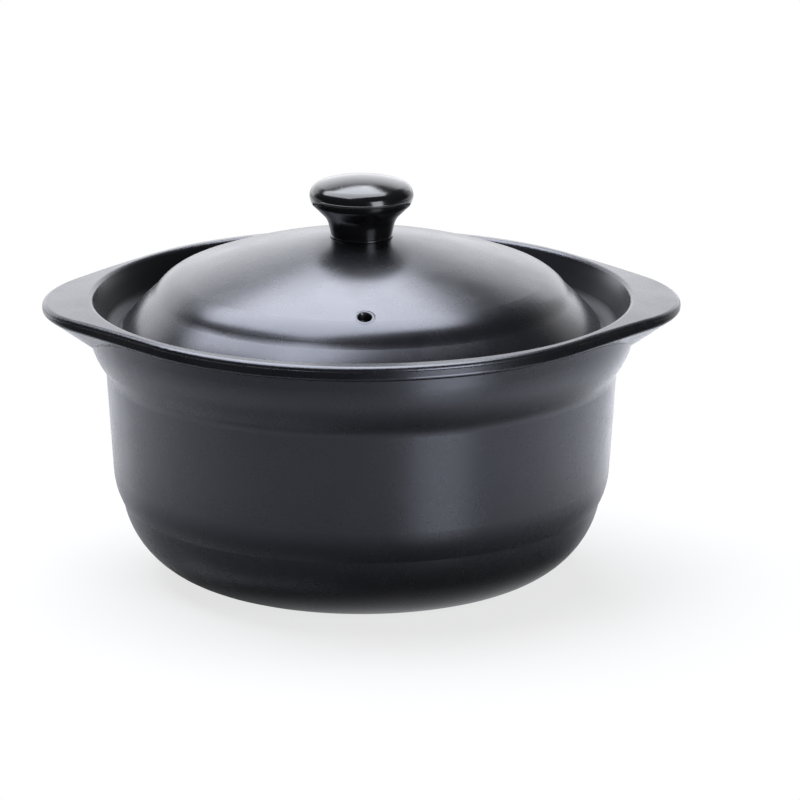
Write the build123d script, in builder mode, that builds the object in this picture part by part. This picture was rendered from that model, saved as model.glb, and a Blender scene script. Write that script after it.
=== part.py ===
"""Chinese sand pot: a glazed stoneware casserole with two ear handles and a knobbed lid.

Frame: +Z up, origin at the middle of the footprint on the table, ears along X,
vent hole towards -Y. All lengths are in millimetres, all angles in degrees.
Revolved outlines are drawn as (radius, height) pairs.
"""
from build123d import *
from math import acos, cos, degrees, hypot, radians, sin, tan
import os

# Clearances and helpers shared by several pieces
seat_gap = 0.3          # between the lid's brim and the ledge it rests on
spigot_gap = 1.2        # between the lid's spigot and the mouth, all round
lid_gap = 5.8           # between the lid's brim and the foot of the gallery wall
thread_gap = 0.05       # between the screw and the insert's bore, all round
hole_gap = 1.0          # round the screw in the lid, so that metal and clay can expand apart
seal_gap = 0.3          # round the screw in the seal
washer_gap = 0.2        # round the screw in the washer
overrun = 2.0           # how far a cut reaches past the face it opens
tolerance = 0.01        # heights closer than this count as one

# Pot body: foot, bowl and wall
rim_height = 116.7      # highest line of the lip, at its inner edge
foot_radius = 63.0      # outer edge of the ring that touches the table
foot_width = 7.0
foot_recess = 1.2       # the base inside the ring stands this far off the table
bowl_arc = 38.5         # radius of the rounded bottom, seen from the side
crease_height = 31.0    # bowl and wall meet in a faint line
wall_low_rise = 13.0    # above the crease the wall rounds in over this height
wall_low_arc = 30.0
neck_radius = 105.1     # top of the wall, where the collar begins
neck_fillet = 8.0       # the collar grows out of the wall in a soft hollow
wall_lean = 2.85        # the wall leans out by this much up to the neck
crease_inset = 3.9      # the crease lies this far inside the foot of the wall
collar_arc = 28.2
collar_flare = 7.1      # the collar widens by this much
collar_rise = 18.7      # from the neck line to where the collar stands upright
collar_straight = 5.3   # upright part of the collar, up to the lip's lower corner

# Pot body: lip and ears, one flange that is trimmed to the ears' outline
lip_overhang = 1.4      # beyond the collar
lip_width = 7.2         # from the opening to the lip's outer edge, front and back
ear_projection = 17.4   # the ears reach this far beyond the lip
ear_tip_arc = 54.9      # radius of the ear's outline at its tip
ear_edge_height = 3.35  # upright edge of the ear at its tip
flange_slope = 5.0      # the top of lip and ears falls outwards by this angle
web_slope = 54.0        # underside of the ears, measured from the vertical
lip_top_fillet = 2.0
lip_low_fillet = 1.5

# Pot body: inside
wall_thickness = 7.2
floor_height = 9.2
floor_corner = 34.0
gallery_depth = 15.0    # from the rim down to the ledge that carries the lid
gallery_slant = 2.4     # the gallery wall round the ledge leans out by this much
gallery_fillet = 5.0
opening_stretch = 4.6   # the opening is this much wider along the ears
opening_fillet = 1.8
ledge_width = 15.5
ledge_thickness = 9.0
ledge_root_rise = 11.0  # the ledge's underside slopes back to the wall over this height
inside_fillet = 6.0
mouth_fillet = 1.5

# Knob: each step is measured from the one before, upwards and inwards
knob_radius = 21.26
knob_brow_inset = 0.96
knob_neck_inset = 4.2
knob_stem_inset = 2.6
knob_base_inset = 1.2
knob_base_chamfer = 0.35
knob_stem_height = 5.2
knob_neck_rise = 4.4
knob_neck_arc = 9.5
knob_brow_rise = 4.2
knob_widest_rise = 3.5
knob_corner = 5.0
knob_crown_angle = 72.0     # the corner turns this far before the flat crown takes over
knob_bore_gap = 0.5         # round the screw's end, above the insert
knob_bore_end_gap = 1.4     # beyond the screw's end

# Brass insert moulded into the knob
insert_across_flats = 8.0
insert_length = 10.0
insert_recess = 0.4     # the insert starts this far inside the knob
insert_groove_depth = 0.6
insert_groove_width = 2.5

# Screw, washer and seal under the lid
screw_diameter = 4.0
screw_length = 20.0
screw_tip_chamfer = 0.5
head_diameter = 8.0
head_height = 2.6
head_fillet = 0.9
drive_width = 1.1       # cross recess in the head
drive_length = 4.2
drive_depth = 1.5
washer_diameter = 14.0
washer_thickness = 1.0
washer_chamfer = 0.15
seal_diameter = 17.0
seal_thickness = 1.5
seal_fillet = 0.3

# Lid: heights are measured from the underside of its brim
lid_height = 39.5       # up to the flat seat of the knob
lid_thickness = 5.5     # at the knob's seat
seat_margin = 1.3       # the flat seat is this much wider than the knob's foot
dome_bow_radius = 49.0  # the dome's ends head for this point, above its middle
dome_bow_drop = 5.3     # below the seat
dome_rise = 23.4        # where the dome ends and the haunch begins
haunch_arc = 20.7       # the dome turns down over this arc
haunch_run = 9.6
groove_rise = 15.35     # the haunch ends in a shallow groove
groove_fillet = 12.0
brim_width = 12.6       # from the groove to the lid's edge
brim_arc = 90.0         # the brim's top bulges a little
brim_edge_height = 2.3
brim_roll = 2.0         # radius of the brim's outer edge
brim_bottom_fillet = 1.2
spigot_depth = 4.4
spigot_width = 5.0
spigot_fillet = 1.5
inner_dome_run = 0.5    # the inner dome ends this far outside the outer one
inner_dome_drop = 7.1   # and this far below it
inner_dome_fillet = 8.0
inner_haunch_rise = 7.5
inner_haunch_fillet = 5.0
inner_seat_margin = 3.5     # the flat under the lid is this much wider than the seal
vent_diameter = 6.0
vent_inset = 2.5        # the vent's axis lies this far inside the end of the dome

# Radii that follow
wall_low_radius = neck_radius - wall_lean
crease_radius = wall_low_radius - crease_inset
collar_radius = neck_radius + collar_flare
lip_radius = collar_radius + lip_overhang
ear_reach = lip_radius + ear_projection
opening_across = lip_radius - lip_width
opening_along = opening_across + opening_stretch
gallery_radius = opening_across - gallery_slant
mouth_radius = gallery_radius - ledge_width
spigot_radius = mouth_radius - spigot_gap
lid_radius = gallery_radius - lid_gap
groove_radius = lid_radius - brim_width
dome_radius = groove_radius - haunch_run
inner_dome_radius = dome_radius + inner_dome_run
vent_offset = dome_radius - vent_inset
knob_brow_radius = knob_radius - knob_brow_inset
knob_neck_radius = knob_brow_radius - knob_neck_inset
knob_stem_radius = knob_neck_radius - knob_stem_inset
knob_base_radius = knob_stem_radius - knob_base_inset
seat_radius = knob_base_radius + seat_margin
inner_seat_radius = seal_diameter / 2 + inner_seat_margin

# Heights that follow
ear_tip_height = rim_height - (ear_reach - opening_across) * tan(radians(flange_slope))
lip_edge_low = ear_tip_height - ear_edge_height
collar_height = lip_edge_low - collar_straight
neck_height = collar_height - collar_rise
wall_low_height = crease_height + wall_low_rise
ledge_height = rim_height - gallery_depth
ledge_bottom = ledge_height - ledge_thickness
brim_bottom = ledge_height + seat_gap
spigot_bottom = brim_bottom - spigot_depth
inner_haunch_height = brim_bottom + inner_haunch_rise
brim_edge_top = brim_bottom + brim_edge_height
groove_height = brim_bottom + groove_rise
dome_height = brim_bottom + dome_rise
inner_dome_height = dome_height - inner_dome_drop
seat_height = brim_bottom + lid_height
dome_bow_height = seat_height - dome_bow_drop
seat_under = seat_height - lid_thickness
seal_bottom = seat_under - seal_thickness
washer_bottom = seal_bottom - washer_thickness
head_bottom = washer_bottom - head_height
screw_top = washer_bottom + screw_length
insert_bottom = seat_height + insert_recess
insert_top = insert_bottom + insert_length
knob_bore_top = max(screw_top, insert_top) + knob_bore_end_gap
knob_stem_top = seat_height + knob_stem_height
knob_neck_height = knob_stem_top + knob_neck_rise
knob_brow_height = knob_neck_height + knob_brow_rise
knob_widest_height = knob_brow_height + knob_widest_rise

os.makedirs("parts", exist_ok=True)


def ear_outline(inset):
    """Outline of lip and ears together, moved inwards by inset: four arcs joined by tangents."""
    lip = lip_radius - inset
    tip = ear_tip_arc - inset
    reach = ear_reach - ear_tip_arc
    turn = degrees(acos((lip - tip) / reach))
    with BuildSketch() as outline:
        with BuildLine():
            right_tip = CenterArc((reach, 0), tip, -turn, 2 * turn)
            back = CenterArc((0, 0), lip, turn, 180 - 2 * turn)
            left_tip = CenterArc((-reach, 0), tip, 180 - turn, 2 * turn)
            front = CenterArc((0, 0), lip, 180 + turn, 180 - 2 * turn)
            Line(right_tip @ 1, back @ 0)
            Line(back @ 1, left_tip @ 0)
            Line(left_tip @ 1, front @ 0)
            Line(front @ 1, right_tip @ 0)
        make_face()
    return outline.sketch


def edges_between(piece, lowest, highest):
    """Edges of a piece whose middle lies between two heights, both included."""
    return piece.edges().filter_by_position(Axis.Z, lowest - tolerance, highest + tolerance)


def beyond_collar(edge):
    """True for an edge on the outline of lip and ears, outside the collar."""
    middle = edge @ 0.5
    return hypot(middle.X, middle.Y) > collar_radius


# Pot body
with BuildPart() as pot_body:
    # Outside of the bowl, wall and collar
    with BuildSketch(Plane.XZ):
        with BuildLine():
            Line((0, 0), (foot_radius, 0))
            RadiusArc((foot_radius, 0), (crease_radius, crease_height), -bowl_arc)
            RadiusArc((crease_radius, crease_height), (wall_low_radius, wall_low_height), -wall_low_arc)
            Line((wall_low_radius, wall_low_height), (neck_radius, neck_height))
            RadiusArc((neck_radius, neck_height), (collar_radius, collar_height), -collar_arc)
            Polyline(
                (collar_radius, collar_height),
                (collar_radius, lip_edge_low),
                (0, lip_edge_low),
                (0, 0),
            )
        make_face()
    revolve(axis=Axis.Z)
    fillet(edges_between(pot_body, neck_height, neck_height), neck_fillet)

    # Lip and ears: an upright edge, and below it a slope that runs back into the collar
    web_depth = lip_edge_low - neck_height
    with BuildSketch(Plane.XY.offset(lip_edge_low)):
        add(ear_outline(0))
    extrude(amount=rim_height - lip_edge_low)
    with BuildSketch(Plane.XY.offset(lip_edge_low)):
        add(ear_outline(0))
    with BuildSketch(Plane.XY.offset(neck_height)):
        add(ear_outline(web_depth * tan(radians(web_slope))))
    loft(ruled=True)

    # The top of lip and ears falls outwards as a shallow cone
    slope_end = ear_reach + overrun
    slope_drop = (slope_end - opening_across) * tan(radians(flange_slope))
    with BuildSketch(Plane.XZ):
        with BuildLine():
            Polyline(
                (opening_across, rim_height),
                (slope_end, rim_height - slope_drop),
                (slope_end, rim_height + overrun),
                (opening_across, rim_height + overrun),
                close=True,
            )
        make_face()
    revolve(axis=Axis.Z, mode=Mode.SUBTRACT)
    fillet(edges_between(pot_body, lip_edge_low, lip_edge_low).filter_by(beyond_collar), lip_low_fillet)
    lip_top_edges = edges_between(pot_body, lip_edge_low + lip_low_fillet, rim_height).filter_by(beyond_collar)
    fillet(lip_top_edges.filter_by(GeomType.LINE, reverse=True), lip_top_fillet)

    # Gallery: a round ledge that opens upwards into an oval, wider along the ears
    flare = (rim_height + overrun - ledge_height) / (rim_height - ledge_height)
    with BuildSketch(Plane.XY.offset(ledge_height)):
        Circle(gallery_radius)
    with BuildSketch(Plane.XY.offset(rim_height + overrun)):
        Ellipse(
            gallery_radius + (opening_along - gallery_radius) * flare,
            gallery_radius + (opening_across - gallery_radius) * flare,
        )
    loft(ruled=True, mode=Mode.SUBTRACT)
    fillet(edges_between(pot_body, ledge_height, ledge_height), gallery_fillet)
    fillet(edges_between(pot_body, collar_height, rim_height).sort_by(Edge.length)[-1], opening_fillet)

    # Inside of the pot, narrowing to the mouth under the ledge
    with BuildSketch(Plane.XZ):
        with BuildLine():
            FilletPolyline(
                (0, floor_height),
                (wall_low_radius - wall_thickness, floor_height),
                (neck_radius - wall_thickness, ledge_bottom - ledge_root_rise),
                (mouth_radius, ledge_bottom),
                (mouth_radius, ledge_height + overrun),
                radius=(floor_corner, inside_fillet, inside_fillet),
            )
            Polyline(
                (mouth_radius, ledge_height + overrun),
                (0, ledge_height + overrun),
                (0, floor_height),
            )
        make_face()
    revolve(axis=Axis.Z, mode=Mode.SUBTRACT)
    fillet(edges_between(pot_body, ledge_height, ledge_height).sort_by(Edge.length)[0], mouth_fillet)

    # A shallow recess under the base leaves the foot ring
    with BuildSketch(Plane.XY):
        Circle(foot_radius - foot_width)
    with BuildSketch(Plane.XY.offset(foot_recess)):
        Circle(foot_radius - foot_width - foot_recess)
    loft(ruled=True, mode=Mode.SUBTRACT)

pot_body.part.label = "pot_body"
export_step(pot_body.part, "parts/pot_body.step")


# Lid: dome, brim that rests on the ledge, and a spigot that drops into the mouth
spigot_inner = spigot_radius - spigot_width
with BuildPart() as lid:
    with BuildSketch(Plane.XZ):
        with BuildLine():
            Line((0, seat_height), (seat_radius, seat_height))
            Bezier((seat_radius, seat_height), (dome_bow_radius, dome_bow_height), (dome_radius, dome_height))
            RadiusArc((dome_radius, dome_height), (groove_radius, groove_height), haunch_arc)
            RadiusArc((groove_radius, groove_height), (lid_radius, brim_edge_top), brim_arc)
            FilletPolyline(
                (lid_radius, brim_edge_top),
                (lid_radius, brim_bottom),
                (spigot_radius, brim_bottom),
                radius=brim_bottom_fillet,
            )
            FilletPolyline(
                (spigot_radius, brim_bottom),
                (spigot_radius, spigot_bottom),
                (spigot_inner, spigot_bottom),
                (spigot_inner, inner_haunch_height),
                (inner_dome_radius, inner_dome_height),
                radius=(spigot_fillet, spigot_fillet, inner_haunch_fillet),
            )
            Bezier(
                (inner_dome_radius, inner_dome_height),
                (dome_bow_radius, dome_bow_height - lid_thickness),
                (inner_seat_radius, seat_under),
            )
            Polyline((inner_seat_radius, seat_under), (0, seat_under), (0, seat_height))
        make_face()
    revolve(axis=Axis.Z)
    fillet(edges_between(lid, inner_dome_height, inner_dome_height).sort_by(Edge.length)[-1], inner_dome_fillet)
    fillet(edges_between(lid, groove_height, groove_height), groove_fillet)
    fillet(edges_between(lid, brim_edge_top, brim_edge_top), brim_roll)
    with BuildSketch(Plane.XY.offset(spigot_bottom)):
        Circle(screw_diameter / 2 + hole_gap)
        with Locations((0, -vent_offset)):
            Circle(vent_diameter / 2)
    extrude(amount=seat_height - spigot_bottom + overrun, mode=Mode.SUBTRACT)

lid.part.label = "lid"
export_step(lid.part, "parts/lid.step")


# Knob, with the pocket that the insert fills and a bore above it
crown_radius = knob_radius - knob_corner + knob_corner * cos(radians(knob_crown_angle))
crown_rise = knob_corner * sin(radians(knob_crown_angle))
crown_arc = crown_radius / cos(radians(knob_crown_angle))
crown_apex = knob_widest_height + crown_rise + crown_arc * (1 - sin(radians(knob_crown_angle)))
with BuildPart() as lid_knob:
    with BuildSketch(Plane.XZ):
        with BuildLine():
            Polyline(
                (0, seat_height),
                (knob_base_radius - knob_base_chamfer, seat_height),
                (knob_base_radius, seat_height + knob_base_chamfer),
                (knob_stem_radius, knob_stem_top),
            )
            RadiusArc(
                (knob_stem_radius, knob_stem_top),
                (knob_neck_radius, knob_neck_height),
                knob_neck_arc,
            )
            Line(
                (knob_neck_radius, knob_neck_height),
                (knob_brow_radius, knob_brow_height),
            )
            TangentArc(
                (knob_radius, knob_widest_height),
                (knob_brow_radius, knob_brow_height),
                tangent=(0, -1),
            )
            corner = CenterArc(
                (knob_radius - knob_corner, knob_widest_height), knob_corner, 0, knob_crown_angle
            )
            RadiusArc(corner @ 1, (0, crown_apex), -crown_arc)
            Line((0, crown_apex), (0, seat_height))
        make_face()
    revolve(axis=Axis.Z)

    # Pocket: hexagonal, but the knob's own material fills the insert's groove
    insert_middle = (insert_bottom + insert_top) / 2
    groove_bottom = insert_middle - insert_groove_width / 2
    groove_top = insert_middle + insert_groove_width / 2
    with BuildSketch(Plane.XY.offset(seat_height)):
        RegularPolygon(insert_across_flats / 2, 6, major_radius=False)
    extrude(amount=groove_bottom - seat_height, mode=Mode.SUBTRACT)
    with BuildSketch(Plane.XY.offset(groove_bottom)):
        Circle(insert_across_flats / 2 - insert_groove_depth)
    extrude(amount=insert_groove_width, mode=Mode.SUBTRACT)
    with BuildSketch(Plane.XY.offset(groove_top)):
        RegularPolygon(insert_across_flats / 2, 6, major_radius=False)
    extrude(amount=insert_top - groove_top, mode=Mode.SUBTRACT)
    with BuildSketch(Plane.XY.offset(insert_top)):
        Circle(screw_diameter / 2 + knob_bore_gap)
    extrude(amount=knob_bore_top - insert_top, mode=Mode.SUBTRACT)

lid_knob.part.label = "lid_knob"
export_step(lid_knob.part, "parts/lid_knob.step")


# Insert: a threaded brass hexagon with a groove that locks it into the knob
with BuildPart() as knob_insert:
    with BuildSketch(Plane.XY.offset(insert_bottom)):
        RegularPolygon(insert_across_flats / 2, 6, major_radius=False)
        Circle(screw_diameter / 2 + thread_gap, mode=Mode.SUBTRACT)
    extrude(amount=insert_length)
    with BuildSketch(Plane.XY.offset(groove_bottom)):
        RegularPolygon(insert_across_flats / 2, 6, major_radius=False)
        Circle(insert_across_flats / 2 - insert_groove_depth, mode=Mode.SUBTRACT)
    extrude(amount=insert_groove_width, mode=Mode.SUBTRACT)

knob_insert.part.label = "knob_insert"
export_step(knob_insert.part, "parts/knob_insert.step")


# Seal: a soft ring between the washer and the underside of the lid
with BuildPart() as seal_washer:
    with BuildSketch(Plane.XY.offset(seal_bottom)):
        Circle(seal_diameter / 2)
        Circle(screw_diameter / 2 + seal_gap, mode=Mode.SUBTRACT)
    extrude(amount=seal_thickness)
    fillet(seal_washer.edges().filter_by(GeomType.CIRCLE).group_by(SortBy.RADIUS)[-1], seal_fillet)

seal_washer.part.label = "seal_washer"
export_step(seal_washer.part, "parts/seal_washer.step")


# Washer under the screw's head
with BuildPart() as plain_washer:
    with BuildSketch(Plane.XY.offset(washer_bottom)):
        Circle(washer_diameter / 2)
        Circle(screw_diameter / 2 + washer_gap, mode=Mode.SUBTRACT)
    extrude(amount=washer_thickness)
    chamfer(plain_washer.edges().filter_by(GeomType.CIRCLE).group_by(SortBy.RADIUS)[-1], washer_chamfer)

plain_washer.part.label = "plain_washer"
export_step(plain_washer.part, "parts/plain_washer.step")


# Screw: a pan head with a cross recess, driven upwards into the insert
with BuildPart() as knob_screw:
    with BuildSketch(Plane.XY.offset(head_bottom)):
        Circle(head_diameter / 2)
    extrude(amount=head_height)
    fillet(knob_screw.edges().sort_by(Axis.Z)[0], head_fillet)
    with BuildSketch(Plane.XY.offset(washer_bottom)):
        Circle(screw_diameter / 2)
    extrude(amount=screw_length)
    chamfer(knob_screw.edges().sort_by(Axis.Z)[-1], screw_tip_chamfer)
    with BuildSketch(Plane.XY.offset(head_bottom)):
        Rectangle(drive_length, drive_width)
        Rectangle(drive_width, drive_length)
    extrude(amount=drive_depth, mode=Mode.SUBTRACT)

knob_screw.part.label = "knob_screw"
export_step(knob_screw.part, "parts/knob_screw.step")
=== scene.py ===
import math

import bpy
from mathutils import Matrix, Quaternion, Vector


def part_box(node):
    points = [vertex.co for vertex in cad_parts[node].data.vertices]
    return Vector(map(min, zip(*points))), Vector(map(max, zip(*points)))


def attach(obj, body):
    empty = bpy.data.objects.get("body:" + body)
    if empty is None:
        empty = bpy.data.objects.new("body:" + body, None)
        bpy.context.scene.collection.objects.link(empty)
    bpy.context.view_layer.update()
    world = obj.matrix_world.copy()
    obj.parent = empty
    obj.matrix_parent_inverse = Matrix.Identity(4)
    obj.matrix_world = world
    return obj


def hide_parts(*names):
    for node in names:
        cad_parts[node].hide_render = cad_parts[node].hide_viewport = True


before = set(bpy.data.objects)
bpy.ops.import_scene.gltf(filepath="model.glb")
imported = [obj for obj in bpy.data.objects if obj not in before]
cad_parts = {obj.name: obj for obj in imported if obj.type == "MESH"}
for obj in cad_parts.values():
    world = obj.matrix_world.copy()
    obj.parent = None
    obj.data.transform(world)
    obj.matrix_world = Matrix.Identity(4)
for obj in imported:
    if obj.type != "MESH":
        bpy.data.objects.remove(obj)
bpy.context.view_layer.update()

bl_info = {
    "name": "Sand Pot",
    "version": (1, 0, 0),
    "blender": (4, 5, 0),
    "location": "3D Viewport > Sidebar > Sand Pot",
    "description": "Dresses a sand pot: glazes, vent rim, moulded knob, its screw and a photo studio",
    "category": "Object",
}

MM = 0.001

# Places on pot and lid, in metres
POT_MIDDLE = Vector((0.0, 0.0, 0.06))
VENT_Y = -0.0735
FOOT_RING_INSIDE = 0.0545
INNER_WALL = 0.0995
LEDGE_FOOT = 0.0880
GALLERY_WALL = 0.1085
GALLERY_FLOOR = 0.0990
GALLERY_TOP = 0.1150
LIP_INSIDE = 0.1126
BRIM_INSIDE = 0.0876
BRIM_ABOVE_SPIGOT = 0.0044

# How high each pattern stands in the glaze, in metres
WAVE_HEIGHT = 0.00016
RUN_HEIGHT = 0.00001
THROWN_HEIGHT = 0.0004
PEEL_HEIGHT = 0.000004
CLAY_GRAIN_HEIGHT = 0.00012
PINHOLE_DEPTH = 0.00002

GLAZE_IOR = 1.75
GLAZE_TINT = (0.86, 0.885, 1.0, 1.0)
FULL_SHINE = 0.5
DRY_SHINE = 0.2
DRY_GLAZE_ROUGHNESS = 0.40
BARE_CLAY_ROUGHNESS = 0.88
KNOB_IOR = 1.54
SILICONE_IOR = 1.41
PAPER_IOR = 1.45

BLACK = (0.0, 0.0, 0.0)
WHITE = (1.0, 1.0, 1.0)
LAMP_WHITE = (0.905, 0.93, 1.0)
AIR_WHITE = (0.93, 0.95, 1.0)

# The photo's frame, in pixels
PHOTO_SIDE = 800
PIXELS_PER_METRE = 2424.7
POT_OFF_MIDDLE = (38.5, 27.4)
SENSOR_WIDTH = 36.0


class SandPotFinishes(bpy.types.PropertyGroup):
    """Colours and gloss of the sand pot."""

    glaze_colour: bpy.props.FloatVectorProperty(
        name="Glaze", description="Black glaze of pot and lid", subtype="COLOR",
        size=3, min=0.0, max=1.0, default=(0.0046, 0.0047, 0.0055))
    thin_glaze_colour: bpy.props.FloatVectorProperty(
        name="Thin glaze", description="Where the glaze ran thin over the clay", subtype="COLOR",
        size=3, min=0.0, max=1.0, default=(0.0078, 0.0073, 0.0072))
    glaze_roughness: bpy.props.FloatProperty(
        name="Glaze roughness", description="How satin the glaze is", subtype="FACTOR",
        min=0.0, max=1.0, default=0.27)
    clay_colour: bpy.props.FloatVectorProperty(
        name="Bare clay", description="Unglazed clay of the foot ring", subtype="COLOR",
        size=3, min=0.0, max=1.0, default=(0.30, 0.235, 0.175))
    knob_colour: bpy.props.FloatVectorProperty(
        name="Knob", description="Moulded black of the knob", subtype="COLOR",
        size=3, min=0.0, max=1.0, default=(0.0045, 0.0045, 0.0050))
    steel_colour: bpy.props.FloatVectorProperty(
        name="Steel", description="Stainless screw and washer", subtype="COLOR",
        size=3, min=0.0, max=1.0, default=(0.56, 0.56, 0.57))
    brass_colour: bpy.props.FloatVectorProperty(
        name="Brass", description="Threaded insert", subtype="COLOR",
        size=3, min=0.0, max=1.0, default=(0.72, 0.52, 0.24))
    seal_colour: bpy.props.FloatVectorProperty(
        name="Seal", description="Silicone seal under the lid", subtype="COLOR",
        size=3, min=0.0, max=1.0, default=(0.72, 0.72, 0.69))


class SandPotSizes(bpy.types.PropertyGroup):
    """Small sizes of the moulded and glazed details, in metres."""

    parting_ridge: bpy.props.FloatProperty(
        name="Parting ridge", description="Height of the mould line round the knob",
        unit="LENGTH", min=0.0, max=0.0005, default=0.00012)
    vent_rim_height: bpy.props.FloatProperty(
        name="Vent rim", description="How far the glaze stands up round the steam vent",
        unit="LENGTH", min=0.0, max=0.001, default=0.00022)
    thread_pitch: bpy.props.FloatProperty(
        name="Thread pitch", description="Rise of the screw's thread in one turn",
        unit="LENGTH", min=0.0004, max=0.002, default=0.0007)
    thread_depth: bpy.props.FloatProperty(
        name="Thread depth", description="How deep the screw's thread is cut",
        unit="LENGTH", min=0.0001, max=0.0008, default=0.00038)


def new_material(name):
    """An empty node material and its shader, already linked to the output."""
    material = bpy.data.materials.new(name)
    material.use_nodes = True
    tree = material.node_tree
    tree.nodes.clear()
    output = tree.nodes.new("ShaderNodeOutputMaterial")
    shader = tree.nodes.new("ShaderNodeBsdfPrincipled")
    tree.links.new(shader.outputs[0], output.inputs["Surface"])
    return material, tree, shader


def add_node(tree, kind, inputs=None, **settings):
    """A node with its settings, and each input either linked or given a value."""
    made = tree.nodes.new(kind)
    for name, value in settings.items():
        setattr(made, name, value)
    for name, value in (inputs or {}).items():
        socket = made.inputs[name]
        if isinstance(value, bpy.types.NodeSocket):
            tree.links.new(value, socket)
        else:
            socket.default_value = value
    return made


def object_place(tree):
    """The point on the piece, in metres, in the piece's own space."""
    return add_node(tree, "ShaderNodeTexCoord").outputs["Object"]


def noise(tree, place, scale, detail=3.0, roughness=0.5):
    inputs = {"Vector": place, "Scale": scale, "Detail": detail, "Roughness": roughness}
    return add_node(tree, "ShaderNodeTexNoise", inputs).outputs["Fac"]


def remap(tree, value, span, goal, smooth=False):
    """Turns the values between the span's two ends into those between the goal's."""
    inputs = {"Value": value, "From Min": span[0], "From Max": span[1],
              "To Min": goal[0], "To Max": goal[1]}
    kind = "SMOOTHSTEP" if smooth else "LINEAR"
    return add_node(tree, "ShaderNodeMapRange", inputs, interpolation_type=kind).outputs["Result"]


def calculate(tree, operation, first, second=0.0):
    return add_node(tree, "ShaderNodeMath", {0: first, 1: second}, operation=operation).outputs[0]


def times(tree, first, *others):
    for other in others:
        first = calculate(tree, "MULTIPLY", first, other)
    return first


def plus(tree, first, second):
    return calculate(tree, "ADD", first, second)


def minus(tree, first, second):
    return calculate(tree, "SUBTRACT", first, second)


def larger(tree, first, second):
    return calculate(tree, "MAXIMUM", first, second)


def above(tree, value, limit):
    """1 above the limit, 0 below it."""
    return calculate(tree, "GREATER_THAN", value, limit)


def below(tree, value, limit, softness):
    """1 below the limit, 0 above it."""
    return remap(tree, value, (limit - softness, limit + softness), (1.0, 0.0), smooth=True)


def mix_colour(tree, factor, first, second):
    """Blends two colours, each a socket or its red, green and blue."""
    first, second = (colour if isinstance(colour, bpy.types.NodeSocket) else (*colour, 1.0)
                     for colour in (first, second))
    inputs = {0: factor, 6: first, 7: second}
    return add_node(tree, "ShaderNodeMix", inputs, data_type="RGBA").outputs[2]


def mix_number(tree, factor, first, second):
    inputs = {0: factor, 2: first, 3: second}
    return add_node(tree, "ShaderNodeMix", inputs, data_type="FLOAT").outputs[0]


def bump(tree, height, distance, under=None):
    """Raises the surface by height times distance, on top of the relief under it."""
    inputs = {"Height": height, "Distance": distance, "Strength": 1.0}
    if under is not None:
        inputs["Normal"] = under
    return add_node(tree, "ShaderNodeBump", inputs).outputs["Normal"]


def moved(tree, place, offset=(0.0, 0.0, 0.0), stretch=(1.0, 1.0, 1.0)):
    """A point stretched, then shifted, so that patterns run long or differ."""
    inputs = {"Vector": place, "Location": offset, "Scale": stretch}
    return add_node(tree, "ShaderNodeMapping", inputs).outputs[0]


def radius_of(tree, place):
    """Distance from the pot's axis."""
    flat = moved(tree, place, stretch=(1.0, 1.0, 0.0))
    return add_node(tree, "ShaderNodeVectorMath", {0: flat}, operation="LENGTH").outputs["Value"]


def height_of(tree, place):
    return add_node(tree, "ShaderNodeSeparateXYZ", {0: place}).outputs["Z"]


def ring_place(tree, place):
    """A point's radius and height as a vector: patterns on it run round the axis."""
    inputs = {"X": radius_of(tree, place), "Y": height_of(tree, place)}
    return add_node(tree, "ShaderNodeCombineXYZ", inputs).outputs[0]


def pinholes(tree, place, under):
    """A few pinholes in the glaze, about half a millimetre wide."""
    cells = add_node(tree, "ShaderNodeTexVoronoi", {"Vector": place, "Scale": 170.0})
    hole = remap(tree, cells.outputs["Distance"], (0.02, 0.055), (1.0, 0.0), smooth=True)
    chance = add_node(tree, "ShaderNodeSeparateColor", {0: cells.outputs["Color"]}).outputs[0]
    few = above(tree, chance, 0.965)
    return bump(tree, times(tree, hole, few), -PINHOLE_DEPTH, under)


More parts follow.
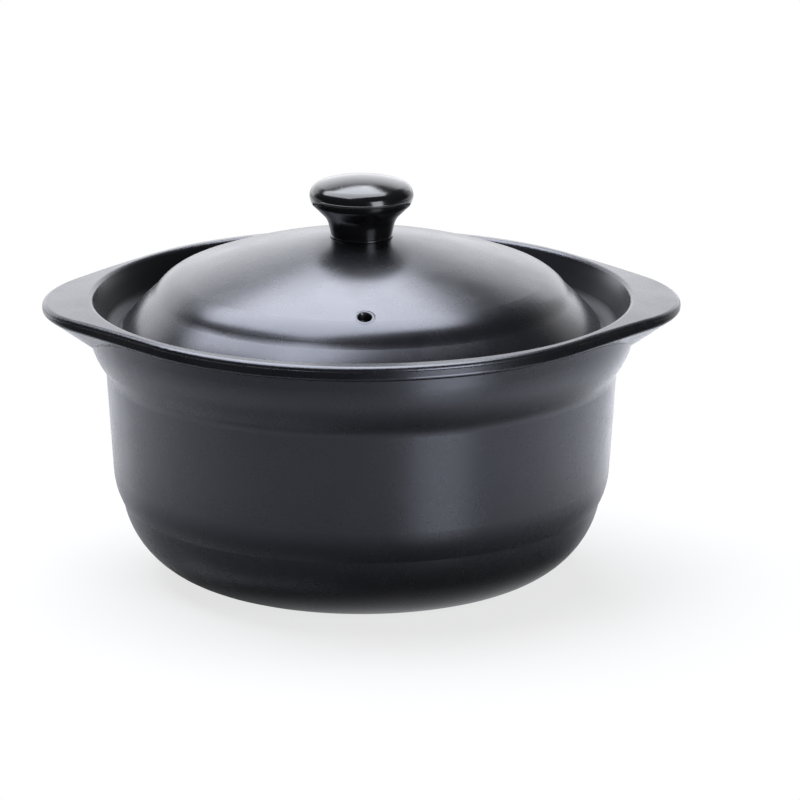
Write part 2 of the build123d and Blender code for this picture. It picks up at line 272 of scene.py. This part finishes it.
def glaze_material(name, finish, seed, bare, rings, dry=None, edge=None):
    """Satin black glaze over clay.

    bare, rings and dry make masks from the place: unglazed clay, throwing rings, thin dry glaze.
    edge makes a height that softens the lip's rim.
    """
    material, tree, shader = new_material(name)
    shader.inputs["IOR"].default_value = GLAZE_IOR
    shader.inputs["Specular Tint"].default_value = GLAZE_TINT
    place = object_place(tree)
    own = moved(tree, place, offset=(seed, seed, seed))

    clouds = noise(tree, own, scale=22.0, detail=4.0, roughness=0.55)
    thin = remap(tree, clouds, (0.42, 0.72), (0.0, 1.0), smooth=True)
    glaze = mix_colour(tree, thin, finish.glaze_colour, finish.thin_glaze_colour)
    sheen = noise(tree, own, scale=60.0, detail=5.0, roughness=0.6)
    gloss = remap(tree, sheen, (0.3, 0.7),
                  (finish.glaze_roughness - 0.03, finish.glaze_roughness + 0.03))

    clay_grain = noise(tree, own, scale=1400.0, detail=3.0, roughness=0.7)
    dark_clay = tuple(0.62 * part for part in finish.clay_colour)
    clay = mix_colour(tree, remap(tree, clay_grain, (0.35, 0.68), (0.0, 1.0)),
                      finish.clay_colour, dark_clay)
    wander = noise(tree, own, scale=90.0, detail=3.0, roughness=0.6)
    unglazed = bare(tree, place, wander)
    if dry is not None:
        thinned = dry(tree, place)
        gloss = mix_number(tree, thinned, gloss, DRY_GLAZE_ROUGHNESS)
        shine = mix_number(tree, thinned, FULL_SHINE, DRY_SHINE)
        tree.links.new(shine, shader.inputs["Specular IOR Level"])
    tree.links.new(mix_colour(tree, unglazed, glaze, clay), shader.inputs["Base Color"])
    tree.links.new(mix_number(tree, unglazed, gloss, BARE_CLAY_ROUGHNESS), shader.inputs["Roughness"])

    waves = noise(tree, own, scale=24.0, detail=1.0, roughness=0.4)
    runs = noise(tree, moved(tree, own, stretch=(1.0, 1.0, 0.12)), scale=110.0, roughness=0.6)
    round_axis = moved(tree, ring_place(tree, place), offset=(seed, seed, seed))
    thrown = noise(tree, round_axis, scale=330.0, detail=2.0)
    peel = noise(tree, own, scale=900.0, detail=2.0)
    relief = None if edge is None else bump(tree, edge(tree, place), 1.0)
    relief = bump(tree, waves, WAVE_HEIGHT, relief)
    relief = bump(tree, runs, RUN_HEIGHT, relief)
    relief = bump(tree, times(tree, thrown, rings(tree, place)), THROWN_HEIGHT, relief)
    relief = bump(tree, peel, PEEL_HEIGHT, relief)
    relief = bump(tree, times(tree, clay_grain, unglazed), CLAY_GRAIN_HEIGHT, relief)
    tree.links.new(pinholes(tree, own, relief), shader.inputs["Normal"])
    return material


def bare_foot(tree, place, wander):
    """The foot ring's flat face, wiped clean before firing up to a wandering edge."""
    raised = minus(tree, height_of(tree, place), times(tree, wander, 0.0008))
    ring = above(tree, radius_of(tree, place), FOOT_RING_INSIDE)
    return times(tree, below(tree, raised, 0.00005, 0.00012), ring)


def dry_gallery(tree, place):
    """Thin, dry glaze in the gallery round the lid."""
    high = height_of(tree, place)
    inside = below(tree, radius_of(tree, place), GALLERY_WALL, 0.0015)
    return times(tree, inside, above(tree, high, GALLERY_FLOOR),
                 below(tree, high, GALLERY_TOP, 0.0008))


def rolled_rim(tree, place):
    """The rim of lip and ears swells downwards, so that it faces a little upwards.

    The swell starts below their top, which falls outwards as a shallow cone.
    """
    away = radius_of(tree, place)
    apex, fall = 0.1260, -0.0875
    top = plus(tree, times(tree, away, fall), apex)
    down = minus(tree, top, height_of(tree, place))
    swell = remap(tree, down, (0.0015, 0.0049), (0.0, 0.0017))
    return times(tree, swell, above(tree, away, LIP_INSIDE))


def thrown_inside(tree, place):
    """Throwing rings on the inner wall, the floor and the base."""
    high, wide = height_of(tree, place), radius_of(tree, place)
    over_floor = minus(tree, 1.0, below(tree, high, 0.040, 0.004))
    wall = times(tree, below(tree, wide, INNER_WALL, 0.0004), over_floor,
                 below(tree, high, LEDGE_FOOT, 0.001))
    base = times(tree, below(tree, wide, 0.070, 0.004), below(tree, high, 0.0098, 0.0002))
    return larger(tree, wall, base)


def bare_brim(tree, place, wander):
    """The brim's underside, where the lid stood in the kiln."""
    low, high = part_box("lid")
    wide = radius_of(tree, place)
    off_seat = minus(tree, height_of(tree, place), low[2] + BRIM_ABOVE_SPIGOT)
    level = below(tree, calculate(tree, "ABSOLUTE", off_seat), 0.0002, 0.0001)
    outer = below(tree, plus(tree, wide, times(tree, wander, 0.001)), high[0] - 0.0012, 0.0002)
    return times(tree, outer, above(tree, wide, BRIM_INSIDE), level)


def thrown_under_lid(tree, place):
    """Throwing rings on the hollow underside of the lid, below a bowl laid inside its dome."""
    wide = radius_of(tree, place)
    crown, fall = 0.1385, 2.9
    dome = minus(tree, crown, times(tree, calculate(tree, "POWER", wide, 2.0), fall))
    under = below(tree, minus(tree, height_of(tree, place), dome), 0.0, 0.0003)
    return times(tree, under, below(tree, wide, 0.080, 0.002))


def knob_material(finish):
    """Polished black moulding: very fine ripple, faint wiping marks."""
    material, tree, shader = new_material("knob_plastic")
    shader.inputs["IOR"].default_value = KNOB_IOR
    place = object_place(tree)
    wiped = moved(tree, place, stretch=(1.0, 0.25, 1.0))
    wiping = noise(tree, wiped, scale=420.0, detail=4.0, roughness=0.65)
    cloud = remap(tree, noise(tree, place, scale=120.0), (0.3, 0.7), (0.0, 1.0))
    lighter = tuple(1.6 * part for part in finish.knob_colour)
    tree.links.new(mix_colour(tree, cloud, finish.knob_colour, lighter), shader.inputs["Base Color"])
    tree.links.new(remap(tree, wiping, (0.3, 0.7), (0.13, 0.18)), shader.inputs["Roughness"])
    relief = bump(tree, noise(tree, place, scale=110.0, detail=1.0), 0.00003)
    relief = bump(tree, noise(tree, place, scale=2200.0, detail=2.0), 0.0000012, relief)
    tree.links.new(relief, shader.inputs["Normal"])
    return material


def turned_metal(name, colour, roughness, grain):
    """Metal with fine turning marks round the axis, light tarnish and handling marks."""
    material, tree, shader = new_material(name)
    shader.inputs["Metallic"].default_value = 1.0
    place = object_place(tree)
    marks = noise(tree, ring_place(tree, place), scale=grain, roughness=0.7)
    stains = noise(tree, place, scale=260.0, detail=4.0, roughness=0.6)
    tarnish = remap(tree, stains, (0.42, 0.7), (0.0, 1.0))
    dull = tuple(0.66 * part for part in colour)
    tree.links.new(mix_colour(tree, tarnish, colour, dull), shader.inputs["Base Color"])
    tree.links.new(remap(tree, marks, (0.3, 0.7), (roughness - 0.07, roughness + 0.10)),
                   shader.inputs["Roughness"])
    tree.links.new(bump(tree, marks, 0.00002), shader.inputs["Normal"])
    return material


def seal_material(finish):
    """Translucent white silicone with a fine moulded grain."""
    material, tree, shader = new_material("seal_rubber")
    shader.inputs["IOR"].default_value = SILICONE_IOR
    shader.inputs["Subsurface Weight"].default_value = 0.15
    shader.inputs["Subsurface Scale"].default_value = 0.001
    place = object_place(tree)
    warm = tuple(part * share for part, share in zip(finish.seal_colour, (0.93, 0.90, 0.84)))
    stains = noise(tree, place, scale=240.0, detail=4.0, roughness=0.6)
    cloud = remap(tree, stains, (0.35, 0.7), (0.0, 1.0))
    grain = noise(tree, place, scale=3200.0, detail=2.0)
    tree.links.new(mix_colour(tree, cloud, finish.seal_colour, warm), shader.inputs["Base Color"])
    tree.links.new(remap(tree, grain, (0.3, 0.7), (0.42, 0.60)), shader.inputs["Roughness"])
    tree.links.new(bump(tree, grain, 0.00002), shader.inputs["Normal"])
    return material


def dress_node(node, material):
    """Gives a CAD piece its finish through its own material slots."""
    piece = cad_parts[node]
    if not piece.material_slots:
        piece.data.materials.append(material)
    for slot in piece.material_slots:
        slot.material = material


def arc(centre, radius, start, end, steps):
    """Points on an arc, its first point left out; angles in degrees."""
    points = []
    for step in range(1, steps + 1):
        angle = math.radians(start + (end - start) * step / steps)
        points.append((centre[0] + radius * math.cos(angle), centre[1] + radius * math.sin(angle)))
    return points


def rounded(before, corner, after, radius, steps):
    """Points that round a corner between two straight runs."""
    here = Vector(corner)
    into = (here - Vector(before)).normalized()
    out = (Vector(after) - here).normalized()
    turn = into.angle(out)
    across = Vector((-into.y, into.x))
    if across.dot(out) < 0.0:
        across = -across
    centre = here - into * radius * math.tan(turn / 2.0) + across * radius
    points = []
    for step in range(steps + 1):
        angle = turn * step / steps
        points.append(tuple(centre - across * radius * math.cos(angle)
                            + into * radius * math.sin(angle)))
    return points


def take_new(name):
    """Names the new primitive, puts its place in its mesh and opens it for editing, all selected."""
    piece = bpy.context.object
    piece.name = name
    bpy.ops.object.transform_apply(location=True, rotation=True, scale=True)
    bpy.ops.object.mode_set(mode="EDIT")
    bpy.ops.mesh.select_all(action="SELECT")
    return piece


def raise_ring(ring, goal):
    """Extrudes the selected ring along the axis and resizes it, as on a wheel."""
    rise = {"value": (0.0, 0.0, (goal[1] - ring[1]) * MM)}
    bpy.ops.mesh.extrude_edges_move(TRANSFORM_OT_translate=rise)
    share = goal[0] / ring[0]
    bpy.ops.transform.resize(value=(share, share, 1.0), center_override=(0.0, 0.0, goal[1] * MM))


def finish_piece(piece, crisp_from):
    """Merges doubles, turns all faces outwards and shades softly, but crisp from an angle on."""
    bpy.ops.mesh.select_all(action="SELECT")
    bpy.ops.mesh.remove_doubles(threshold=0.000001)
    bpy.ops.mesh.normals_make_consistent(inside=False)
    bpy.ops.object.mode_set(mode="OBJECT")
    bpy.ops.object.shade_smooth_by_angle(angle=math.radians(crisp_from))
    return piece


def turned_piece(name, outline, sides, hollow=False):
    """A turned piece from its outline, as radius and height in millimetres.

    Its two end rings shrink to poles, or where it is hollow they join.
    """
    bpy.ops.object.select_all(action="DESELECT")
    bpy.ops.mesh.primitive_circle_add(vertices=sides, radius=outline[0][0] * MM, fill_type="NOTHING",
                                      location=(0.0, 0.0, outline[0][1] * MM))
    piece = take_new(name)
    for ring, goal in zip(outline, outline[1:]):
        raise_ring(ring, goal)
    bpy.ops.mesh.select_all(action="DESELECT")
    bpy.ops.mesh.select_non_manifold()
    if hollow:
        bpy.ops.mesh.bridge_edge_loops()
    else:
        bpy.ops.mesh.edge_collapse()
    return finish_piece(piece, crisp_from=35.0)


def settle(piece, body, slot, material, *nodes):
    """Gives a new piece its finish and body, and hides the CAD pieces that it stands for."""
    piece.data.materials.append(material)
    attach(piece, body)
    if nodes:
        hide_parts(*nodes)


class SANDPOT_OT_pot(bpy.types.Operator):
    """Glaze the pot, with its foot ring left bare"""
    bl_idname = "sandpot.pot"
    bl_label = "Pot"

    def execute(self, context):
        dress_node("pot_body", glaze_material("pot_glaze", context.scene.sand_pot_finishes, 0.0,
                                              bare_foot, thrown_inside, dry_gallery, rolled_rim))
        return {"FINISHED"}


class SANDPOT_OT_lid(bpy.types.Operator):
    """Glaze the lid"""
    bl_idname = "sandpot.lid"
    bl_label = "Lid"

    def execute(self, context):
        dress_node("lid", glaze_material("lid_glaze", context.scene.sand_pot_finishes, 3.7,
                                         bare_brim, thrown_under_lid))
        return {"FINISHED"}


class SANDPOT_OT_vent_rim(bpy.types.Operator):
    """Round the edge of the steam vent with the glaze that gathers there"""
    bl_idname = "sandpot.vent_rim"
    bl_label = "Vent rim"

    def execute(self, context):
        crest = context.scene.sand_pot_sizes.vent_rim_height / MM
        wall = [(2.97, -2.6), (2.95, -0.9), (2.96, -0.35), (3.02, -0.08)]
        bead = [(3.14, 0.55 * crest), (3.30, 0.90 * crest), (3.50, crest), (3.75, 0.82 * crest),
                (4.05, 0.45 * crest), (4.40, 0.12 * crest)]
        root = [(4.75, -0.03), (4.75, -0.5), (3.60, -2.6)]
        rim = turned_piece("vent_rim", wall + bead + root, sides=72, hollow=True)

        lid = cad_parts["lid"]
        clear_of_vent = 3.1 * MM
        for corner in rim.data.vertices:
            flat = Vector((corner.co.x, corner.co.y, 0.0))
            over = flat * max(1.0, clear_of_vent / flat.length) + Vector((0.0, VENT_Y, 1.0))
            found, spot = lid.ray_cast(over, (0.0, 0.0, -1.0))[:2]
            if not found:
                raise RuntimeError("the lid has no face round its steam vent")
            corner.co += Vector((0.0, VENT_Y, spot.z))
        settle(rim, "lid_set", "lid_glaze", lid.material_slots[0].material)
        return {"FINISHED"}


def knob_outline(widest, ridge):
    """From the top of the insert's pocket, down and round the foot, and up over the cap."""
    pocket = [(2.2, 13.4), (2.5, 13.2), (2.5, 10.8), (4.75, 10.6), (4.75, 0.0)]
    foot = [(5.2, 0.0), (11.6, 0.0)]
    foot += rounded((11.6, 0.0), (12.85, 0.0), (12.85, 0.7), 0.15, 3)
    foot += rounded((12.85, 0.1), (12.85, 0.55), (12.5, 0.85), 0.3, 5)
    neck = [(12.55, 1.0), (12.66, 1.6), (13.0, 3.0), (13.42, 4.9)]
    neck += arc((22.66, 2.75), 9.5, 165.0, 133.8, 12)
    neck += [(17.2, 10.7), (18.6, 12.1), (19.7, 13.2)]
    edge = arc((widest - 6.9, 17.25), 6.9, -32.0, -3.0, 10)
    edge += [(widest, 17.10), (ridge, 17.20), (ridge, 17.38), (widest, 17.48)]

    shoulder, height, steepest = 5.0, 17.3, 72.0
    edge += arc((widest - shoulder, height), shoulder, 4.0, steepest, 16)
    lean = math.radians(steepest)
    crown = (widest - shoulder + shoulder * math.cos(lean)) / math.cos(lean)
    middle = height + (shoulder - crown) * math.sin(lean)
    top = arc((0.0, middle), crown, steepest, 90.0, 14)[:-1]
    return pocket + foot + neck + edge + top


class SANDPOT_OT_knob(bpy.types.Operator):
    """Turn the mushroom knob, with its parting ridge and the pocket for its insert"""
    bl_idname = "sandpot.knob"
    bl_label = "Knob"

    def execute(self, context):
        low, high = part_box("lid_knob")
        widest = (high[0] - low[0]) / 2.0 / MM
        ridge = widest + context.scene.sand_pot_sizes.parting_ridge / MM
        foot = low[2] / MM
        outline = [(radius, foot + height) for radius, height in knob_outline(widest, ridge)]
        knob = turned_piece("knob", outline, sides=144)
        plastic = knob_material(context.scene.sand_pot_finishes)
        settle(knob, "lid_set", "knob_plastic", plastic, "lid_knob")
        return {"FINISHED"}


def recess_arms(face, reach, width, depth):
    """Two tapered arms, a cross that leaves the screw's recess when it is cut out of the head."""
    spare, taper, soft_edge = 0.001, 0.42, 0.00012
    arms = []
    for turn in (0.0, math.pi / 2.0):
        bpy.ops.object.select_all(action="DESELECT")
        bpy.ops.mesh.primitive_cube_add(
            size=1.0, location=(0.0, 0.0, face + depth / 2.0 - spare / 2.0),
            rotation=(0.0, 0.0, turn), scale=(reach, width, depth + spare))
        arm = take_new("recess_arm")
        bpy.ops.mesh.select_all(action="DESELECT")
        bpy.ops.object.mode_set(mode="OBJECT")
        top = max(corner.co.z for corner in arm.data.vertices)
        for corner in arm.data.vertices:
            corner.select = corner.co.z > top - 0.0001
        bpy.ops.object.mode_set(mode="EDIT")
        bpy.ops.transform.resize(value=(taper, taper, 1.0), center_override=(0.0, 0.0, top))
        bpy.ops.mesh.select_all(action="SELECT")
        bpy.ops.mesh.bevel(offset=soft_edge, segments=2, affect="EDGES")
        bpy.ops.object.mode_set(mode="OBJECT")
        arms.append(arm)
    return arms


def cut_away(piece, cutters):
    """Takes the cutters out of a piece and removes them."""
    for cutter in cutters:
        bpy.ops.object.select_all(action="DESELECT")
        piece.select_set(True)
        bpy.context.view_layer.objects.active = piece
        hole = piece.modifiers.new("recess", "BOOLEAN")
        hole.operation = "DIFFERENCE"
        hole.solver = "EXACT"
        hole.object = cutter
        bpy.ops.object.modifier_apply(modifier=hole.name)
        bpy.data.objects.remove(cutter)


def wound_thread(start, turns, pitch, core, crest):
    """The thread: one turn's profile wound up the axis and closed at both ends; in millimetres."""
    sunk = core - 0.05
    flank = crest - 0.08
    profile = ((sunk, 0.0), (flank, 0.36), (crest, 0.44), (crest, 0.56), (flank, 0.64), (sunk, 1.0))
    bpy.ops.object.select_all(action="DESELECT")
    bpy.ops.mesh.primitive_circle_add(vertices=3, radius=0.001, fill_type="NOTHING")
    thread = take_new("screw_thread")
    bpy.ops.mesh.delete(type="VERT")
    bpy.ops.object.mode_set(mode="OBJECT")
    # The circle was only a start: the profile is an open line, drawn in its emptied mesh.
    corners = [(radius * MM, 0.0, (start + part * pitch) * MM) for radius, part in profile]
    lines = [(index, index + 1) for index in range(len(profile) - 1)]
    thread.data.from_pydata(corners, lines, [])

    wind = thread.modifiers.new("thread", "SCREW")
    wind.angle = math.tau
    wind.screw_offset = pitch * MM
    wind.iterations = turns
    wind.steps = wind.render_steps = 28
    wind.use_merge_vertices = True
    wind.merge_threshold = 0.00001
    bpy.ops.object.modifier_apply(modifier=wind.name)
    bpy.ops.object.mode_set(mode="EDIT")
    bpy.ops.mesh.select_all(action="SELECT")
    bpy.ops.mesh.remove_doubles(threshold=0.00001)
    bpy.ops.mesh.fill_holes(sides=0)
    return finish_piece(thread, crisp_from=30.0)


class SANDPOT_OT_screw(bpy.types.Operator):
    """Shape the pan-head screw with its rolled thread and cross recess"""
    bl_idname = "sandpot.screw"
    bl_label = "Screw"

    def execute(self, context):
        sizes = context.scene.sand_pot_sizes
        low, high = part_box("knob_screw")
        head_height = 2.6
        bottom, tip = low[2] / MM, high[2] / MM
        seat = bottom + head_height
        crest = 2.0
        core = crest - sizes.thread_depth / MM
        pitch = sizes.thread_pitch / MM
        head = [(0.6, bottom), (3.0, bottom + 0.02)]
        head += rounded((3.0, bottom), (4.0, bottom), (4.0, bottom + 1.0), 0.9, 8)
        head += [(4.0, seat - 0.25), (3.9, seat), (2.05, seat)]
        shank = [(1.98, seat + 0.15), (1.98, seat + 0.9), (core, seat + 1.2), (core, tip - 0.6)]
        end = [(core - 0.35, tip - 0.04), (0.8, tip)]
        screw = turned_piece("screw", head + shank + end, sides=64)
        cut_away(screw, recess_arms(low[2], reach=0.0042, width=0.0011, depth=0.0015))

        bare_shank, bare_ends = 1.1, 2.6
        turns = int((tip - seat - bare_ends) / pitch)
        thread = wound_thread(seat + bare_shank, turns, pitch, core, crest)
        bpy.ops.object.select_all(action="DESELECT")
        thread.select_set(True)
        screw.select_set(True)
        context.view_layer.objects.active = screw
        bpy.ops.object.join()
        bpy.ops.object.shade_smooth_by_angle(angle=math.radians(30.0))

        colour = context.scene.sand_pot_finishes.steel_colour
        steel = turned_metal("screw_steel", colour, roughness=0.28, grain=9000.0)
        settle(screw, "lid_set", "screw_steel", steel, "knob_screw")
        dress_node("plain_washer", steel)
        return {"FINISHED"}


class SANDPOT_OT_insert_and_seal(bpy.types.Operator):
    """Give the brass insert and the silicone seal their finishes"""
    bl_idname = "sandpot.insert_and_seal"
    bl_label = "Insert and seal"

    def execute(self, context):
        finish = context.scene.sand_pot_finishes
        brass = turned_metal("insert_brass", finish.brass_colour, roughness=0.30, grain=7000.0)
        dress_node("knob_insert", brass)
        dress_node("seal_washer", seal_material(finish))
        return {"FINISHED"}


def bearing(turn, rise):
    """Direction from the pot, in degrees: turn runs from the photo's side to the right-hand ear."""
    turn, rise = math.radians(turn), math.radians(rise)
    return Vector((math.sin(turn) * math.cos(rise), -math.cos(turn) * math.cos(rise), math.sin(rise)))


def soft_box(name, turn, rise, reach, width, depth, radiance, roll=0.0):
    """A soft light panel that faces the pot and that the camera doesn't see."""
    ray = bearing(turn, rise)
    bpy.ops.object.light_add(type="AREA", location=POT_MIDDLE + ray * reach)
    lamp = bpy.context.object
    lamp.name = name
    lamp.data.shape = "RECTANGLE"
    lamp.data.size = width
    lamp.data.size_y = depth
    lamp.data.color = LAMP_WHITE
    lamp.data.energy = math.pi * width * depth * radiance
    lamp.rotation_mode = "QUATERNION"
    aim = (-ray).to_track_quat("-Z", "Y")
    lamp.rotation_quaternion = aim @ Quaternion((0.0, 0.0, 1.0), math.radians(roll))
    lamp.visible_camera = False


def mirror_rays(tree, rays):
    """1 for rays that a glossy or clear surface sends on."""
    return larger(tree, rays.outputs["Is Glossy Ray"], rays.outputs["Is Transmission Ray"])


def mix_shaders(tree, share, first, second):
    inputs = {0: share, 1: first.outputs[0], 2: second.outputs[0]}
    return add_node(tree, "ShaderNodeMixShader", inputs)


def studio_paper():
    """Pale paper with painted shade and painted light, and pure white where it passes for background.

    Painted shade darkens its tone towards the camera and round the pot. Painted light lightens it on
    the right and right round the foot, and a painted white glow lies there for gloss, so that the
    bowl's glaze reflects them.
    """
    material, tree, paper = new_material("studio_paper")
    place = object_place(tree)
    rays = add_node(tree, "ShaderNodeLightPath")
    away = radius_of(tree, place)
    parts = add_node(tree, "ShaderNodeSeparateXYZ", {0: place}).outputs
    aside, back = parts["X"], parts["Y"]

    # painted shade: the paper's tone darkens towards the camera, standing in for light falling off
    depth = remap(tree, back, (-0.30, 0.15), (0.31, 0.64), smooth=True)
    # painted shade: darker round the pot, standing in for its shadow
    far = remap(tree, away, (0.12, 0.25), (0.44, 1.0), smooth=True)
    # painted light: much lighter right round the foot, for the bowl's glaze to reflect
    painted_foot_light = remap(tree, away, (0.064, 0.090), (2.6, 0.44), smooth=True)
    # painted light: lighter on the right, for the bowl's glaze to reflect
    right = remap(tree, aside, (0.03, 0.11), (1.0, 1.4), smooth=True)
    share = times(tree, depth, times(tree, larger(tree, far, painted_foot_light), right))
    tree.links.new(mix_colour(tree, share, BLACK, WHITE), paper.inputs["Base Color"])
    paper.inputs["Roughness"].default_value = 0.25
    paper.inputs["IOR"].default_value = PAPER_IOR

    white = add_node(tree, "ShaderNodeEmission", {"Color": (*WHITE, 1.0), "Strength": 1.0})
    behind = remap(tree, back, (0.35, 0.80), (0.0, 1.0), smooth=True)
    # painted reflection: for gloss, the paper right under the pot glows white, most on the right, to
    # light the bowl's lower edge
    under = times(tree, remap(tree, away, (0.068, 0.100), (0.5, 0.0), smooth=True),
                  remap(tree, aside, (-0.06, 0.02), (0.2, 1.0), smooth=True))
    share = times(tree, larger(tree, behind, under), mirror_rays(tree, rays))
    mirrored = mix_shaders(tree, share, paper, white)

    shaded = add_node(tree, "ShaderNodeBsdfDiffuse", {"Color": (0.68, 0.68, 0.68, 1.0)})
    open_floor = remap(tree, away, (0.09, 0.27), (0.74, 1.0), smooth=True)
    seen = mix_shaders(tree, open_floor, shaded, white)
    both = mix_shaders(tree, rays.outputs["Is Camera Ray"], mirrored, seen)
    tree.links.new(both.outputs[0], tree.nodes["Material Output"].inputs["Surface"])
    return material


def studio_air(scene):
    """White all round for the camera and behind the pot for its gloss; dim for everything else."""
    world = scene.world or bpy.data.worlds.new("studio_air")
    scene.world = world
    world.use_nodes = True
    tree = world.node_tree
    tree.nodes.clear()
    output = add_node(tree, "ShaderNodeOutputWorld")
    rays = add_node(tree, "ShaderNodeLightPath")
    aim = add_node(tree, "ShaderNodeTexCoord").outputs["Generated"]
    parts = add_node(tree, "ShaderNodeSeparateXYZ", {0: aim}).outputs
    behind = remap(tree, parts["Y"], (0.45, 0.80), (0.0, 1.0), smooth=True)
    low = remap(tree, parts["Z"], (0.35, 0.60), (1.0, 0.0), smooth=True)
    backdrop = times(tree, behind, low, mirror_rays(tree, rays))
    white = add_node(tree, "ShaderNodeBackground", {"Color": (*WHITE, 1.0), "Strength": 1.0})
    dim = add_node(tree, "ShaderNodeBackground", {"Color": (*AIR_WHITE, 1.0), "Strength": 0.05})
    mixed = mix_shaders(tree, larger(tree, rays.outputs["Is Camera Ray"], backdrop), dim, white)
    tree.links.new(mixed.outputs[0], output.inputs["Surface"])


class SANDPOT_OT_studio(bpy.types.Operator):
    """Set up floor, soft lights and camera"""
    bl_idname = "sandpot.studio"
    bl_label = "Studio"

    def execute(self, context):
        bpy.ops.object.select_all(action="DESELECT")
        bpy.ops.mesh.primitive_plane_add(size=12.0, location=(0.0, 0.0, -0.0002))
        floor = context.object
        floor.name = "studio_floor"
        floor.data.materials.append(studio_paper())
        studio_air(context.scene)

        soft_box("key_box", turn=-146.0, rise=72.0, reach=1.3,
                 width=1.52, depth=1.40, radiance=6.7, roll=-4.0)
        soft_box("strip_box", turn=35.0, rise=14.0, reach=1.5,
                 width=0.64, depth=1.0, radiance=7.4)
        soft_box("back_paper", turn=-172.0, rise=18.0, reach=1.7,
                 width=2.9, depth=1.1, radiance=1.05)

        reach = 3.0
        back = bearing(turn=-1.0, rise=15.69)
        bpy.ops.object.camera_add(location=POT_MIDDLE + back * reach)
        camera = context.object
        camera.rotation_mode = "QUATERNION"
        camera.rotation_quaternion = (-back).to_track_quat("-Z", "Y")
        camera.data.sensor_width = SENSOR_WIDTH
        camera.data.lens = SENSOR_WIDTH * reach / (PHOTO_SIDE / PIXELS_PER_METRE)
        camera.data.shift_x = POT_OFF_MIDDLE[0] / PHOTO_SIDE
        camera.data.shift_y = POT_OFF_MIDDLE[1] / PHOTO_SIDE
        camera.data.clip_start, camera.data.clip_end = 0.05, 30.0
        context.scene.camera = camera
        context.scene.view_settings.view_transform = "Standard"
        return {"FINISHED"}


STEPS = (SANDPOT_OT_pot, SANDPOT_OT_lid, SANDPOT_OT_vent_rim, SANDPOT_OT_knob, SANDPOT_OT_screw,
         SANDPOT_OT_insert_and_seal, SANDPOT_OT_studio)


class SANDPOT_PT_sidebar(bpy.types.Panel):
    """Everything of the sand pot in one place"""
    bl_idname = "SANDPOT_PT_sidebar"
    bl_label = "Sand Pot"
    bl_space_type = "VIEW_3D"
    bl_region_type = "UI"
    bl_category = "Sand Pot"

    def draw(self, context):
        for settings in (context.scene.sand_pot_finishes, context.scene.sand_pot_sizes):
            for name in type(settings).__annotations__:
                self.layout.prop(settings, name)
        for step in STEPS:
            self.layout.operator(step.bl_idname)


CLASSES = (SandPotFinishes, SandPotSizes, *STEPS, SANDPOT_PT_sidebar)


def register():
    for item in CLASSES:
        bpy.utils.register_class(item)
    bpy.types.Scene.sand_pot_finishes = bpy.props.PointerProperty(type=SandPotFinishes)
    bpy.types.Scene.sand_pot_sizes = bpy.props.PointerProperty(type=SandPotSizes)


def unregister():
    del bpy.types.Scene.sand_pot_sizes
    del bpy.types.Scene.sand_pot_finishes
    for item in reversed(CLASSES):
        bpy.utils.unregister_class(item)


def main():
    register()
    bpy.ops.sandpot.pot()
    bpy.ops.sandpot.lid()
    bpy.ops.sandpot.vent_rim()
    bpy.ops.sandpot.knob()
    bpy.ops.sandpot.screw()
    bpy.ops.sandpot.insert_and_seal()
    bpy.ops.sandpot.studio()


if __name__ == "__main__":
    main()
